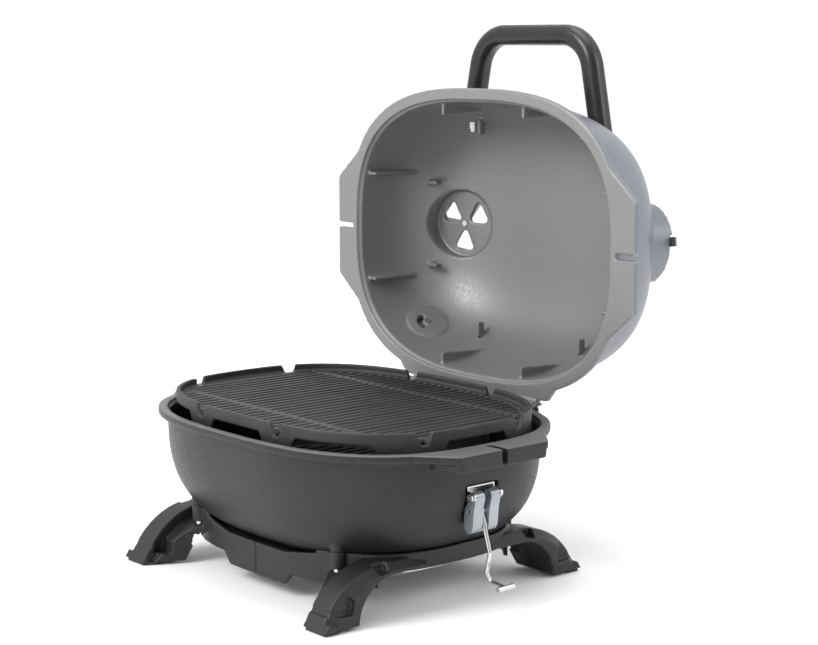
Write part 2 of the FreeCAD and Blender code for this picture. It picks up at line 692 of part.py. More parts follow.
handle_z = joint + HANDLE_RISE
handle_grip_y = -half_width - HANDLE_REACH
handle_scale = (1 - (HANDLE_RISE / DOME_HEIGHT) ** DOME_POWER) ** (1 / DOME_POWER)
handle_wall_y = -(half_width - DOME_INSET) * handle_scale
handle_screw_x = HANDLE_FOOT_HALF - 6
handle_screw_y = -superellipse_half(
    handle_screw_x, (half_width - DOME_INSET) * handle_scale, (half_length - DOME_INSET) * handle_scale
)


def make_handle():
    """U-shaped grip whose feet follow the dome."""
    points = [
        V(-HANDLE_FOOT_HALF, handle_wall_y + 30, handle_z),
        V(-HANDLE_GRIP_HALF, handle_grip_y, handle_z),
        V(HANDLE_GRIP_HALF, handle_grip_y, handle_z),
        V(HANDLE_FOOT_HALF, handle_wall_y + 30, handle_z),
    ]
    path = bent_path(points, HANDLE_BEND)
    along = (points[1] - points[0]).normalize()
    across = along.cross(V(0, 0, 1)).normalize()
    corners = []
    for side, rise in ((-1, -1), (1, -1), (1, 1), (-1, 1)):
        corners.append(points[0] + across * (side * HANDLE_HEIGHT / 2) + V(0, 0, rise * HANDLE_DEPTH / 2))
    profile = rounded_wire(corners, [HANDLE_ROUND] * 4)
    grip = swept(profile, path)
    grip = grip.cut(dome_outside)
    for x in (-handle_screw_x, handle_screw_x):
        grip = grip.cut(rod(HANDLE_SCREW, V(x, handle_screw_y + 10, handle_z), V(x, handle_screw_y - 16, handle_z)))
    return max(grip.Solids, key=lambda solid: solid.Volume)


def make_handle_screws():
    """Screws from inside the dome into the handle's feet, each with its washer."""
    screws = []
    for x in (-handle_screw_x, handle_screw_x):
        seat = handle_screw_y + CASTING_WALL + 7
        shank = rod(HANDLE_SCREW - 0.02, V(x, seat, handle_z), V(x, handle_screw_y - 14, handle_z))
        head = rod(5.5, V(x, seat + 4, handle_z), V(x, seat, handle_z))
        socket = rod(2.0, V(x, seat + 5, handle_z), V(x, seat + 1.5, handle_z))
        screws.append(shank.fuse(head).cut(socket))
    return screws


def make_handle_washers():
    washers = []
    for x in (-handle_screw_x, handle_screw_x):
        seat = handle_screw_y + CASTING_WALL + 7
        ring = rod(8.0, V(x, seat, handle_z), V(x, handle_screw_y + 1, handle_z))
        ring = ring.cut(rod(HANDLE_SCREW + 0.2, V(x, seat + 1, handle_z), V(x, handle_screw_y - 1, handle_z)))
        washers.append(ring.common(dome_inside))
    return washers


# ---------------------------------------------------------------- grates

def make_cooking_grate():
    half_x = half_length - GRATE_INSET
    half_y = half_width - GRATE_INSET
    wall = plate(half_x, half_y, joint - GRATE_FOOT, joint + GRATE_TOP)
    wall = wall.cut(plate(half_x - GRATE_WALL, half_y - GRATE_WALL, joint - GRATE_FOOT - 1, joint + GRATE_TOP + 1))
    arches = []
    low = joint - GRATE_FOOT - 1
    high = joint + GRATE_ARCH_TOP
    foot = GRATE_FOOT_WIDTH / 2
    for x0, x1 in (
        (-RIB_ALONG + foot, RIB_ALONG - foot),
        (RIB_ALONG + foot, half_x - 34),
        (-half_x + 34, -RIB_ALONG - foot),
    ):
        ends = [V(x0 - 4, -300, low), V(x1 + 4, -300, low)]
        ends += [V(x1 - GRATE_ARCH_SLOPE, -300, high), V(x0 + GRATE_ARCH_SLOPE, -300, high)]
        arches.append(prism(ends, V(0, 600, 0)))
    y1 = RIB_ACROSS - foot
    ends = [V(-300, -y1 - 4, low), V(-300, y1 + 4, low)]
    ends += [V(-300, y1 - GRATE_ARCH_SLOPE, high), V(-300, GRATE_ARCH_SLOPE - y1, high)]
    arches.append(prism(ends, V(600, 0, 0)))
    wall = wall.cut(arches)
    deck_top = joint + GRATE_BAR_TOP
    deck = plate(half_x - GRATE_WALL + 0.5, half_y - GRATE_WALL + 0.5, deck_top - GRATE_BAR_DEPTH, deck_top)
    slots = []
    lanes = int((half_x - 22) / BAR_PITCH)
    for lane in range(-lanes, lanes + 1):
        x = lane * BAR_PITCH
        reach = superellipse_half(x, half_y - GRATE_WALL - 8, half_x - GRATE_WALL - 4)
        edges = [-reach, -SLOT_ROW - SLOT_BREAK / 2, -SLOT_ROW + SLOT_BREAK / 2]
        edges += [SLOT_ROW - SLOT_BREAK / 2, SLOT_ROW + SLOT_BREAK / 2, reach]
        for start, end in ((edges[0], edges[1]), (edges[2], edges[3]), (edges[4], edges[5])):
            if end - start > BAR_SLOT:
                slots.append(
                    box(x - BAR_SLOT / 2, x + BAR_SLOT / 2, start, end, deck_top - GRATE_BAR_DEPTH - 1, deck_top + 1)
                )
    deck = deck.cut(slots)
    grate = deck.fuse(wall)
    notches = []
    top = joint + GRATE_TOP + 0.01
    half = NOTCH_WIDTH / 2
    for side in (-1, 1):
        y = side * RIB_ACROSS
        low = top - NOTCH_DEPTH
        points = [V(0, y - half, top), V(0, y - half * 0.4, low), V(0, y + half * 0.4, low), V(0, y + half, top)]
        start = half_length - RIB_REACH - 2
        notch = prism([p + V(start, 0, 0) for p in points], V(RIB_REACH * 2, 0, 0))
        notches += [notch, mirror_x(notch)]
        x = side * RIB_ALONG
        points = [V(x - half, 0, top), V(x - half * 0.4, 0, low), V(x + half * 0.4, 0, low), V(x + half, 0, top)]
        start = half_width - RIB_REACH - 2
        notch = prism([p + V(0, start, 0) for p in points], V(0, RIB_REACH * 2, 0))
        notches += [notch, mirror_y(notch)]
    return grate.cut(notches)


def make_charcoal_grate():
    half_x, half_y = wall_half(BOWL_INSET + CASTING_WALL, BOWL_DEPTH - CASTING_WALL, BOWL_POWER, LUG_DEPTH)
    half_x -= COAL_GRATE_GAP
    half_y -= COAL_GRATE_GAP
    z0 = joint - LUG_DEPTH
    grate = plate(half_x, half_y, z0, z0 + COAL_GRATE_THICKNESS)
    slots = []
    lanes = int((half_x - 20) / COAL_PITCH)
    for lane in range(-lanes, lanes + 1):
        x = lane * COAL_PITCH
        reach = superellipse_half(x, half_y - 10, half_x - 6)
        for start, end in ((-reach, -4), (4, reach)):
            slots.append(box(x - COAL_SLOT / 2, x + COAL_SLOT / 2, start, end, z0 - 1, z0 + 5))
    return grate.cut(slots)


# ---------------------------------------------------------------- latch

def make_bracket():
    half = BRACKET_WIDTH / 2
    top = joint - BRACKET_TOP
    bottom = joint - BRACKET_BOTTOM
    pivot_z = joint - PIVOT_DROP
    back = box(latch_face, latch_face + PLATE, -half, half, bottom, top)
    lip = box(latch_face, latch_face + BRACKET_EAR, -half, half, top - PLATE, top)
    ears = []
    for y0 in (-half, half - PLATE):
        ears.append(box(latch_face, latch_face + BRACKET_EAR, y0, y0 + PLATE, bottom, top))
        ears.append(box(latch_face, pivot_x, y0, y0 + PLATE, pivot_z - EAR_RADIUS, pivot_z + EAR_RADIUS))
        ears.append(rod(EAR_RADIUS, V(pivot_x, y0, pivot_z), V(pivot_x, y0 + PLATE, pivot_z)))
    bracket = back.fuse([lip] + ears)
    cuts = [rod(PIVOT_RADIUS + RUNNING_FIT, V(pivot_x, -half - 1, pivot_z), V(pivot_x, half + 1, pivot_z))]
    for height in rivet_heights:
        cuts.append(rod(RIVET_RADIUS + RUNNING_FIT, V(latch_face - 1, 0, height), V(latch_face + PLATE + 1, 0, height)))
    return bracket.cut(cuts)


def make_bracket_rivets():
    rivets = []
    for height in rivet_heights:
        shank = rod(RIVET_RADIUS, V(latch_face - 3, 0, height), V(latch_face + PLATE, 0, height))
        head = rod(RIVET_HEAD, V(latch_face + PLATE, 0, height), V(latch_face + PLATE + 1.2, 0, height))
        rivets.append(shank.fuse(head))
    return rivets


def make_pivot_screws():
    """Two screws, one for each side of the lever, so the hook can pass between them."""
    height = joint - PIVOT_DROP
    half = BRACKET_WIDTH / 2
    inner = LEVER_SLOT / 2 + 0.4
    shank = rod(PIVOT_RADIUS, V(pivot_x, inner, height), V(pivot_x, half, height))
    head = rod(4.6, V(pivot_x, half, height), V(pivot_x, half + 3.4, height))
    socket = rod(1.6, V(pivot_x, half + 1.4, height), V(pivot_x, half + 4, height))
    screw = shank.fuse(head).cut(socket)
    return [screw, mirror_y(screw)]


def make_lever():
    """Forked lever hanging from its pivot."""
    z = joint
    top_radius = 6.2
    outline_points = [
        V(pivot_x - top_radius, 0, z - PIVOT_DROP),
        V(pivot_x - 7.2, 0, z - 66),
        V(pivot_x - 12.4, 0, z - 73),
        V(pivot_x - 14.2, 0, z - 81),
        V(pivot_x - 14.8, 0, z - 92),
        V(pivot_x - 13.5, 0, z - 99.5),
        V(pivot_x - 8, 0, z - 103.5),
        V(pivot_x - 1.5, 0, z - 101.5),
        V(pivot_x + 1.5, 0, z - 95),
        V(pivot_x + 2.5, 0, z - 84),
        V(pivot_x + 4.5, 0, z - 70),
        V(pivot_x + top_radius, 0, z - PIVOT_DROP),
        V(pivot_x + top_radius * 0.707, 0, z - PIVOT_DROP + top_radius * 0.707),
        V(pivot_x, 0, z - PIVOT_DROP + top_radius),
        V(pivot_x - top_radius * 0.707, 0, z - PIVOT_DROP + top_radius * 0.707),
    ]
    curve = Part.BSplineCurve()
    curve.interpolate(Points=outline_points, PeriodicFlag=True)
    half = lever_width / 2
    face = Part.Face(Part.Wire(curve.toShape()))
    lever = face.extrude(V(0, lever_width, 0)).translated(V(0, -half, 0))
    slot_half = LEVER_SLOT / 2
    cuts = [box(200, 300, -slot_half, slot_half, z - LEVER_BRIDGE, z)]
    cuts.append(box(bridge_front, 300, -slot_half, slot_half, z - 120, z))
    pivot_z = z - PIVOT_DROP
    pin_z = z - HOOK_PIN_DROP
    cuts.append(rod(PIVOT_RADIUS + RUNNING_FIT, V(pivot_x, -30, pivot_z), V(pivot_x, 30, pivot_z)))
    cuts.append(rod(HOOK_PIN_RADIUS + RUNNING_FIT, V(hook_pin_x, -30, pin_z), V(hook_pin_x, 30, pin_z)))
    return lever.cut(cuts)


def make_hook_pin():
    height = joint - HOOK_PIN_DROP
    half = lever_width / 2 - 0.5
    return rod(HOOK_PIN_RADIUS, V(hook_pin_x, -half, height), V(hook_pin_x, half, height))


def make_hook():
    """Wire hook with an eye, a sleeve and a cross bar, hanging in the lever's slot."""
    z = joint
    pin = V(hook_pin_x, 0, z - HOOK_PIN_DROP)
    points = [
        pin,
        V(hook_pin_x + 6.5, 0, z - 99),
        V(hook_pin_x + 15.5, 0, z - 127),
        V(hook_pin_x + 10, 0, z - 151),
        V(hook_pin_x + 17.5, 0, z - 159.5),
        V(hook_pin_x + 41.5, 0, z - 161.5),
    ]
    path = bent_path(points, 5.0)
    start_direction = (points[1] - points[0]).normalize()
    profile = Part.Wire(Part.makeCircle(HOOK_WIRE, pin, start_direction))
    wire = swept(profile, path)
    sleeve = rod(HOOK_SLEEVE, pin, pin + start_direction * 20)
    eye_half = LEVER_SLOT / 2 - FIT_GAP - 0.5
    eye = rod(4.0, pin + V(0, -eye_half, 0), pin + V(0, eye_half, 0))
    bar_half = HOOK_BAR_LENGTH / 2
    bar = rod(HOOK_BAR, points[-1] + V(0, -bar_half, 0), points[-1] + V(0, bar_half, 0))
    hole = rod(HOOK_PIN_RADIUS + RUNNING_FIT, pin + V(0, -20, 0), pin + V(0, 20, 0))
    return wire.fuse([sleeve, eye, bar]).cut(hole)


# ---------------------------------------------------------------- stand and shield

def leg_profile(x, drop):
    """Side outline of one leg at +Y, in a plane of constant X, its crown lowered by a drop."""
    arch_y = heel_y - ARCH_RADIUS
    crown = CROWN_RADIUS - drop
    crown_y = toe_y + 5 - CROWN_RADIUS
    crown_z = CROWN_TOP - CROWN_RADIUS
    arch_mid = ARCH_RADIUS * math.sqrt(0.5)
    sole = PAD_HEIGHT
    toe_angle = math.asin((10 - crown_z) / crown)
    mid_angle = (toe_angle + math.pi / 2) / 2
    crown_mid = V(x, crown_y + crown * math.cos(mid_angle), crown_z + crown * math.sin(mid_angle))
    crown_start = V(x, crown_y + crown * math.cos(toe_angle), 10)
    crown_end = V(x, crown_y, crown_z + crown)
    arch_z = ARCH_HEIGHT - ARCH_RADIUS
    heel = V(x, arch_y + math.sqrt(ARCH_RADIUS ** 2 - (sole - arch_z) ** 2), sole)
    arch_top = V(x, arch_y, ARCH_HEIGHT - drop / 2)
    if drop:
        arch_top = V(x, arch_y + 13, crown_z + crown - 7.5)
    arc_mid = V(x, arch_y + arch_mid, arch_z + arch_mid)
    inner_y = 50
    edges = [
        Part.makeLine(V(x, toe_y - drop, sole), crown_start),
        Part.Arc(crown_start, crown_mid, crown_end).toShape(),
        Part.makeLine(crown_end, V(x, inner_y, crown_end.z)),
        Part.makeLine(V(x, inner_y, crown_end.z), V(x, inner_y, arch_top.z)),
        Part.makeLine(V(x, inner_y, arch_top.z), arch_top),
    ]
    if drop:
        edges.append(Part.makeLine(arch_top, arc_mid))
        edges.append(Part.makeLine(arc_mid, heel))
    else:
        edges.append(Part.Arc(arch_top, arc_mid, heel).toShape())
    edges.append(Part.makeLine(heel, V(x, toe_y - drop, sole)))
    return Part.Wire(edges)


def make_leg():
    """Arched leg at +X, +Y: a tall outer half, a lower inner half, facets, pocket and notch."""
    crown_y = toe_y + 5 - CROWN_RADIUS
    crown_z = CROWN_TOP - CROWN_RADIUS
    outer = Part.Face(leg_profile(toe_inner, 0)).extrude(V(leg_outer - toe_inner, 0, 0))
    start = V(leg_outer - CROWN_CHAMFER, crown_y, crown_z)
    along = CROWN_CHAMFER + 1
    ring = Part.makeCylinder(CROWN_RADIUS + 8, along, start, V(1, 0, 0))
    ring = ring.cut(Part.makeCone(CROWN_RADIUS, CROWN_RADIUS - along, along, start, V(1, 0, 0)))
    above_toe = prism(
        [
            V(start.x - 5, crown_y, 120),
            V(start.x - 5, crown_y, 6),
            V(start.x - 5, toe_y - 16, 6),
            V(start.x - 5, toe_y + 14, 26),
            V(start.x - 5, toe_y + 14, 120),
        ],
        V(40, 0, 0),
    )
    wedge = prism(
        [
            V(start.x, 40, CROWN_TOP),
            V(start.x + along, 40, CROWN_TOP - along),
            V(start.x + along, 40, CROWN_TOP + 5),
            V(start.x, 40, CROWN_TOP + 5),
        ],
        V(0, crown_y - 40, 0),
    )
    outer = outer.cut([ring.common(above_toe), wedge])
    inner_start = heel_inner - 28
    inner = Part.Face(leg_profile(inner_start, INNER_LEG_DROP)).extrude(V(toe_inner + 1 - inner_start, 0, 0))
    plan = prism(
        [
            V(toe_inner + 1, toe_y + 20, -5),
            V(toe_inner - 2, toe_y - 6, -5),
            V(heel_inner, heel_y, -5),
            V(inner_start, heel_y - 40, -5),
            V(inner_start, 40, -5),
            V(toe_inner + 1, 40, -5),
        ],
        V(0, 0, 100),
    )
    leg = outer.fuse(inner.common(plan))
    notch = rod(NOTCH_ROUND, V(100, toe_y - 8, 24), V(leg_outer + 10, toe_y - 8, 24))
    pocket_corners = [(-40, 17), (-43, 32), (-30, 46), (-11, 46), (-1, 27), (-4, 19)]
    pocket = prism([V(leg_outer - POCKET_DEPTH, toe_y + y, z) for y, z in pocket_corners], V(12, 0, 0))
    step_corners = [(-5, 80), (0, 57), (13, 55), (23, 80)]
    step = prism([V(leg_outer - STEP_DEPTH, crown_y + y, z) for y, z in step_corners], V(20, 0, 0))
    hollow_corners = [(-24, 30), (-6, 22), (-9, 38)]
    hollow = prism([V(heel_inner - 12, heel_y + y, z) for y, z in hollow_corners], V(30, 0, 0))
    inner_corners = [(-33, 12), (-17, 15), (-21, 27), (-35, 34)]
    inner_pocket = prism([V(toe_inner - 24, toe_y + y, z) for y, z in inner_corners], V(30, 0, 0))
    return leg.cut([notch, pocket, step, hollow, inner_pocket])


def make_stand_right():
    ring = plate(skirt_half_length, skirt_half_width, SKIRT_BOTTOM, SKIRT_TOP_END, 3.0)
    ring = ring.cut(plate(skirt_half_length - STAND_WALL, skirt_half_width - STAND_WALL, 0, 100, 3.0))
    arch_hole = box(LIP_HALF_LENGTH + 60, 300, -heel_y + ARCH_RADIUS, heel_y - ARCH_RADIUS, 0, ARCH_HEIGHT)
    ring = ring.cut(arch_hole)
    deck = plate(skirt_half_length - 1, skirt_half_width - 1, ARCH_HEIGHT - STAND_WALL + 1, ARCH_HEIGHT, 3.0)
    opening = plate(shield_half_length - 66, shield_half_width - 8, 0, 100, 3.0)
    deck = deck.common(box(0, 300, -200, 200, 0, 100)).cut(opening)
    lip = plate(skirt_half_length, skirt_half_width, LIP_BOTTOM, SKIRT_TOP_MIDDLE, 3.0)
    lip = lip.cut(plate(skirt_half_length - STAND_WALL, skirt_half_width - STAND_WALL, 0, 100, 3.0))
    lip_side = prism(
        [
            V(0, -200, SKIRT_TOP_MIDDLE),
            V(LIP_HALF_LENGTH + 12, -200, SKIRT_BOTTOM + 1),
            V(LIP_HALF_LENGTH, -200, LIP_BOTTOM),
            V(0, -200, LIP_BOTTOM),
        ],
        V(0, 400, 0),
    )
    lip = lip.common(lip_side)
    leg = make_leg()
    posts = []
    bosses = []
    for side in (-1, 1):
        post_foot = V(post_x, side * post_y, SHIELD_FLANGE + SHIELD_SHEET)
        posts.append(Part.makeCylinder(POST_RADIUS, ARCH_HEIGHT - SHIELD_FLANGE - SHIELD_SHEET, post_foot))
        boss_foot = V(boss_x, side * boss_y, BOSS_JOINT - BOSS_LENGTH)
        bosses.append(Part.makeCylinder(BOSS_RADIUS, BOSS_LENGTH, boss_foot))
    stand = ring.fuse([deck, lip, leg, mirror_y(leg)] + posts + bosses)
    trims = []
    trim = prism(
        [
            V(-1, -300, SKIRT_TOP_MIDDLE),
            V(LIP_HALF_LENGTH, -300, SKIRT_TOP_MIDDLE),
            V(LIP_HALF_LENGTH + 52, -300, SKIRT_TOP_SHOULDER),
            V(LIP_HALF_LENGTH + 52, -300, 120),
            V(-1, -300, 120),
        ],
        V(0, 600, 0),
    )
    trims.append(trim)
    trims.append(box(-300, SEAM_GAP / 2, -300, 300, 0, 200))
    trims.append(bowl_envelope)
    for side in (-1, 1):
        y = side * boss_y
        below = V(boss_x, y, BOSS_JOINT - BOSS_LENGTH - 20)
        trims.append(Part.makeCylinder(STAND_SCREW + 0.3, BOSS_LENGTH + 30, below))
        trims.append(Part.makeCylinder(BOSS_RADIUS + FIT_GAP, 40, V(boss_x, y, BOSS_JOINT)))
        trims.append(Part.makeCylinder(5.0 + FIT_GAP, 45, V(boss_x, y, BOSS_JOINT - BOSS_LENGTH - 45)))
        trims.append(Part.makeCylinder(POST_SCREW, 9.5, V(post_x, side * post_y, SHIELD_FLANGE)))
    stand = stand.cut(trims)
    return max(stand.Solids, key=lambda solid: solid.Volume)


def make_stand_screws():
    seat = BOSS_JOINT - BOSS_LENGTH
    shank = Part.makeCylinder(STAND_SCREW, BOSS_LENGTH + 9, V(boss_x, boss_y, seat))
    head = Part.makeCylinder(5.0, 4.0, V(boss_x, boss_y, seat - 4.0))
    socket = Part.makeCylinder(2.0, 2.5, V(boss_x, boss_y, seat - 4.0))
    return four_ways(shank.fuse(head).cut(socket))


def make_foot_pads():
    pad = rounded_prism(
        [
            V(toe_inner + 3, toe_y - 2, 0),
            V(toe_inner - 8, toe_y - 22, 0),
            V(leg_outer - 3, toe_y - 22, 0),
            V(leg_outer - 3, toe_y - 2, 0),
        ],
        3.0,
        V(0, 0, PAD_HEIGHT),
    )
    return four_ways(pad)


def shield_well(grow, z0, z1):
    """Tapered well of the shield, grown outward by an amount, between two heights."""
    wires = [outline(shield_floor_length + grow, shield_floor_width + grow, z0, SHIELD_POWER)]
    wires.append(outline(shield_well_length + grow, shield_well_width + grow, z1, SHIELD_POWER))
    return Part.makeLoft(wires, True, True)


def make_shield():
    """Sheet tray under the bowl, its flange carried by the stand's posts."""
    flange_top = SHIELD_FLANGE + SHIELD_SHEET
    tray = plate(shield_half_length, shield_half_width, SHIELD_FLANGE, flange_top, SHIELD_POWER)
    tray = tray.fuse(shield_well(0, SHIELD_BOTTOM, flange_top))
    inside = shield_well(-SHIELD_SHEET * 1.2, SHIELD_BOTTOM + SHIELD_SHEET, flange_top)
    well_x = shield_well_length - SHIELD_SHEET * 1.2
    well_y = shield_well_width - SHIELD_SHEET * 1.2
    above = plate(well_x, well_y, flange_top, flange_top + 5, SHIELD_POWER)
    tray = tray.cut([inside, above])
    hole = Part.makeCylinder(POST_SCREW + 0.2, 10, V(post_x, post_y, SHIELD_FLANGE - 2))
    cuts = four_ways(hole)
    low = SHIELD_BOTTOM - 2
    sweep = ring_sector(finger_reach - 5, finger_reach + 5, -DAMPER_TURN - 10, 10, low, low + 6)
    sweep = sweep.translated(V(bowl_vent_place, 0, 0))
    cuts += [sweep, mirror_x(sweep)]
    return tray.cut(cuts)


def make_shield_screws():
    shank = Part.makeCylinder(POST_SCREW - 0.02, 9, V(post_x, post_y, SHIELD_FLANGE))
    head = Part.makeCylinder(4.2, 2.6, V(post_x, post_y, SHIELD_FLANGE - 2.6))
    socket = Part.makeCylinder(1.5, 1.5, V(post_x, post_y, SHIELD_FLANGE - 2.6))
    return four_ways(shank.fuse(head).cut(socket))


def make_bowl_damper():
    """Damper under the bowl floor, with a finger down through the shield."""
    z0 = VENT_DISC + FIT_GAP
    disc = Part.makeCylinder(bowl_vent_inside, DAMPER_THICKNESS, V(0, 0, z0))
    arm = box(bowl_vent_inside - 4, finger_reach + 3, -4, 4, z0, z0 + DAMPER_THICKNESS)
    finger_end = bowl_vent_origin.z - SHIELD_BOTTOM + 3
    finger = box(finger_reach + 1, finger_reach + 3, -4, 4, z0, finger_end)
    disc = disc.fuse([arm, finger])
    for tool in vent_holes(BOWL_VENT_SCALE):
        disc = disc.cut(tool)
    disc = disc.cut(Part.makeCylinder(VENT_RIVET + RUNNING_FIT, 20, V(0, 0, -5)))
    turned = place_in(disc, V(0, 0, 0), bowl_vent_normal)
    if turned.BoundBox.XMax < finger_reach:
        turned.rotate(V(0, 0, 0), V(0, 0, 1), 180)
    return turned.translated(bowl_vent_origin)


def make_hinge_pin():
    inner = KNUCKLE_START + 2
    outer = LUG_START + LUG_WIDTH
    shank = rod(HINGE_PIN, V(inner, hinge_y, hinge_z), V(outer, hinge_y, hinge_z))
    head = rod(PIN_HEAD, V(outer + 0.2, hinge_y, hinge_z), V(outer + 0.2 + PIN_HEAD_LENGTH, hinge_y, hinge_z))
    neck = rod(HINGE_PIN, V(outer - 1, hinge_y, hinge_z), V(outer + 1, hinge_y, hinge_z))
    return shank.fuse([neck, head])


def make_port_cover():
    z0 = 1.5 + FIT_GAP
    disc = Part.makeCylinder(PORT_RING + PORT_SLOT / 2 + 2, PORT_COVER_THICKNESS, V(0, 0, z0))
    disc = disc.cut(ring_sector(PORT_RING - 4, 40, 75, 285, z0 - 1, z0 + 5))
    tab = box(PORT_RING + 4, PORT_RING + 14, -4, 4, z0, z0 + PORT_COVER_THICKNESS)
    cover = disc.fuse(tab).cut(Part.makeCylinder(PORT_RIVET + RUNNING_FIT, 20, V(0, 0, -5)))
    cover.rotate(V(0, 0, 0), V(0, 0, 1), PORT_SLOT_TURN)
    return cover


def make_port_rivet():
    top = 1.5 + PORT_COVER_THICKNESS + 2 * FIT_GAP
    shank = Part.makeCylinder(PORT_RIVET, top + 8.5, V(0, 0, -8.5))
    return shank.fuse([Part.makeCylinder(4.5, 1.5, V(0, 0, top)), Part.makeCylinder(4.0, 1.2, V(0, 0, -9.7))])


# ---------------------------------------------------------------- output

def write(name, pieces):
    shape = pieces if isinstance(pieces, Part.Shape) else Part.makeCompound(pieces)
    shape.exportStep("parts/" + name + ".step")
    print(name, len(shape.Solids), shape.isValid(), round(shape.Volume / 1000, 2))


def write_pair(name, pieces):
    """One node for each end of the grill."""
    shapes = [pieces] if isinstance(pieces, Part.Shape) else pieces
    write(name + "_right", shapes)
    write(name + "_left", [mirror_x(item) for item in shapes])


os.makedirs("parts", exist_ok=True)
write("base_bowl", make_bowl())
write("cooking_grate", make_cooking_grate())
write("charcoal_grate", make_charcoal_grate())
write_pair("stand", make_stand_right())
write("stand_screws", make_stand_screws())
write("foot_pads", make_foot_pads())
write("heat_shield", make_shield())
write("shield_screws", make_shield_screws())
write_pair("hinge_pin", make_hinge_pin())
write_pair("base_damper", make_bowl_damper())
write_pair("base_damper_rivet", place_in(vent_rivet(), bowl_vent_origin, bowl_vent_normal))
write_pair("latch_bracket", make_bracket())
write_pair("bracket_rivets", make_bracket_rivets())
write_pair("latch_pivot_screws", make_pivot_screws())
write_pair("latch_lever", make_lever())
write_pair("hook_pin", make_hook_pin())
write_pair("latch_hook", make_hook())
write("lid_shell", opened(make_lid()))
write("lid_handle", opened(make_handle()))
write("handle_screws", [opened(item) for item in make_handle_screws()])
write("handle_washers", [opened(item) for item in make_handle_washers()])
lid_damper = damper(1, lid_vent_inside)
lid_damper.rotate(V(0, 0, 0), V(0, 0, 1), -DAMPER_REST)
vent_damper = place_in(lid_damper, lid_vent_origin, lid_vent_normal)
write("lid_damper_right", opened(vent_damper))
write("lid_damper_left", opened(mirror_x(vent_damper)))
rivet = place_in(vent_rivet(), lid_vent_origin, lid_vent_normal)
write("lid_damper_rivet_right", opened(rivet))
write("lid_damper_rivet_left", opened(mirror_x(rivet)))
write("port_cover", opened(place_in(make_port_cover(), port_origin, port_normal)))
write("port_rivet", opened(place_in(make_port_rivet(), port_origin, port_normal)))
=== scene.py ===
import bpy
import json
from mathutils import Matrix, Vector


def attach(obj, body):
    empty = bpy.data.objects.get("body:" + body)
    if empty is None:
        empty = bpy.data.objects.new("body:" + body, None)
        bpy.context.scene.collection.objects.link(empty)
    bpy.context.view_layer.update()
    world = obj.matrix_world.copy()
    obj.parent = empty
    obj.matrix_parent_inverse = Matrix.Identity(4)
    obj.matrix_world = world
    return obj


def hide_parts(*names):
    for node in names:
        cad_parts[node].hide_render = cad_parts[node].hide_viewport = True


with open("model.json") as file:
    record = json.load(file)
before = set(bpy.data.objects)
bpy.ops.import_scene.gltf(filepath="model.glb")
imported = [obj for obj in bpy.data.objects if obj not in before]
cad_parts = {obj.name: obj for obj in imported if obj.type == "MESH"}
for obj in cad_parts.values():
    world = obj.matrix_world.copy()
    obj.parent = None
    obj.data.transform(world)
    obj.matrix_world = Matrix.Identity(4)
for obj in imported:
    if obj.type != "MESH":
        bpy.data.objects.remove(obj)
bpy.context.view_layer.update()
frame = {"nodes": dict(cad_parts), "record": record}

# Portable charcoal grill with its lid standing open. Metres, +Z up, +Y to the hinge.
nodes = frame["nodes"]


# ------------------------------------------------------------------ materials

def new_material(name):
    """A node material with its shader and a coordinate source that follows the object."""
    material = bpy.data.materials.new(name)
    material.use_nodes = True
    tree = material.node_tree
    shader = tree.nodes["Principled BSDF"]
    place = tree.nodes.new("ShaderNodeTexCoord").outputs["Object"]
    return material, tree, shader, place


def noise(tree, place, scale, detail=3.0, roughness=0.55, stretch=None):
    if stretch:
        mapping = tree.nodes.new("ShaderNodeMapping")
        mapping.inputs["Scale"].default_value = stretch
        tree.links.new(place, mapping.inputs["Vector"])
        place = mapping.outputs["Vector"]
    node = tree.nodes.new("ShaderNodeTexNoise")
    node.inputs["Scale"].default_value = scale
    node.inputs["Detail"].default_value = detail
    node.inputs["Roughness"].default_value = roughness
    tree.links.new(place, node.inputs["Vector"])
    return node.outputs["Fac"]


def ramp(tree, value, stops):
    """Colour or grey levels along a value, from (position, colour) stops."""
    node = tree.nodes.new("ShaderNodeValToRGB")
    points = node.color_ramp.elements
    while len(points) < len(stops):
        points.new(0.5)
    for point, (position, color) in zip(points, stops):
        point.position = position
        point.color = (*color, 1.0) if isinstance(color, tuple) else (color, color, color, 1.0)
    tree.links.new(value, node.inputs["Fac"])
    return node.outputs["Color"]


def mixed(tree, share, first, second, mode="MIX"):
    node = tree.nodes.new("ShaderNodeMix")
    node.data_type = "RGBA"
    node.blend_type = mode
    for socket, value in ((node.inputs[0], share), (node.inputs[6], first), (node.inputs[7], second)):
        if isinstance(value, bpy.types.NodeSocket):
            tree.links.new(value, socket)
        elif isinstance(value, tuple):
            socket.default_value = (*value, 1.0)
        else:
            socket.default_value = value
    return node.outputs[2]


def bump(tree, shader, layers):
    """Chain of height fields, each with its strength and depth in metres."""
    last = None
    for height, strength, distance in layers:
        node = tree.nodes.new("ShaderNodeBump")
        node.inputs["Strength"].default_value = strength
        node.inputs["Distance"].default_value = distance
        tree.links.new(height, node.inputs["Height"])
        if last:
            tree.links.new(last, node.inputs["Normal"])
        last = node.outputs["Normal"]
    tree.links.new(last, shader.inputs["Normal"])


def wear(tree, color, lighter, reach=0.56, strength=0.6):
    """Lighten convex edges by the mesh's own pointiness."""
    geometry = tree.nodes.new("ShaderNodeNewGeometry")
    edge = ramp(tree, geometry.outputs["Pointiness"], [(reach - 0.04, 0.0), (reach, strength)])
    return mixed(tree, edge, color, lighter)


